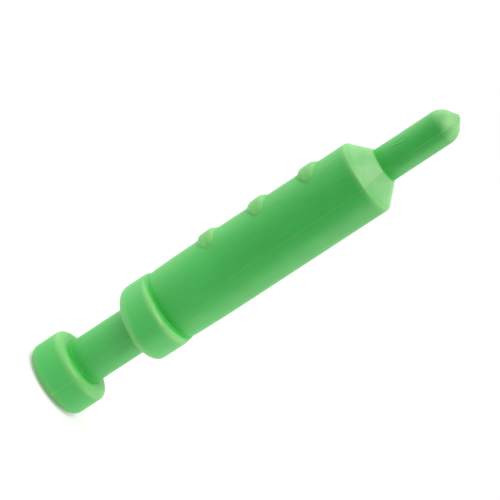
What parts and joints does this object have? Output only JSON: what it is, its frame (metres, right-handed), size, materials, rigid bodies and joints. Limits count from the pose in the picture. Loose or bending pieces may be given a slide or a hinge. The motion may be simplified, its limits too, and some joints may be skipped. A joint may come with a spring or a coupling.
{
  "type": "toy syringe",
  "caption": "Small play syringe with a thumb disc, sliding plunger, oval finger collar, marked barrel, cone nose and blunt needle.",
  "frame": {"origin": "centre of the thumb disc's outer face, which is the face it stands on", "axes": "+Z along the syringe from the thumb disc to the needle, graduation marks face -Y, joint plane of the barrel halves is Y = 0"},
  "size_m": [0.007, 0.0055, 0.0331],
  "materials": {
    "green_plastic": "satin, slightly translucent moulded plastic",
    "natural_plastic": "matte natural moulded plastic",
    "seal_rubber": "matte"
  },
  "bodies": {
    "plunger": {"thumb_disc": "green_plastic", "plunger_rod": "green_plastic", "retaining_ring": "natural_plastic"},
    "piston_head": {"piston": "natural_plastic", "piston_seal": "seal_rubber"},
    "barrel": {"marked_barrel_half": "green_plastic", "plain_barrel_half": "green_plastic", "rod_guide": "natural_plastic", "needle": "green_plastic"}
  },
  "joints": [
    {"name": "plunger_turn", "type": "hinge", "parent": "plunger", "child": "piston_head", "pos_m": [0, 0, 0.01835], "axis": [0, 0, 1], "continuous": true},
    {"name": "plunger_stroke", "type": "slide", "parent": "piston_head", "child": "barrel", "axis": [0, 0, 1], "range_m": [-0.00447, 0.00793]}
  ]
}
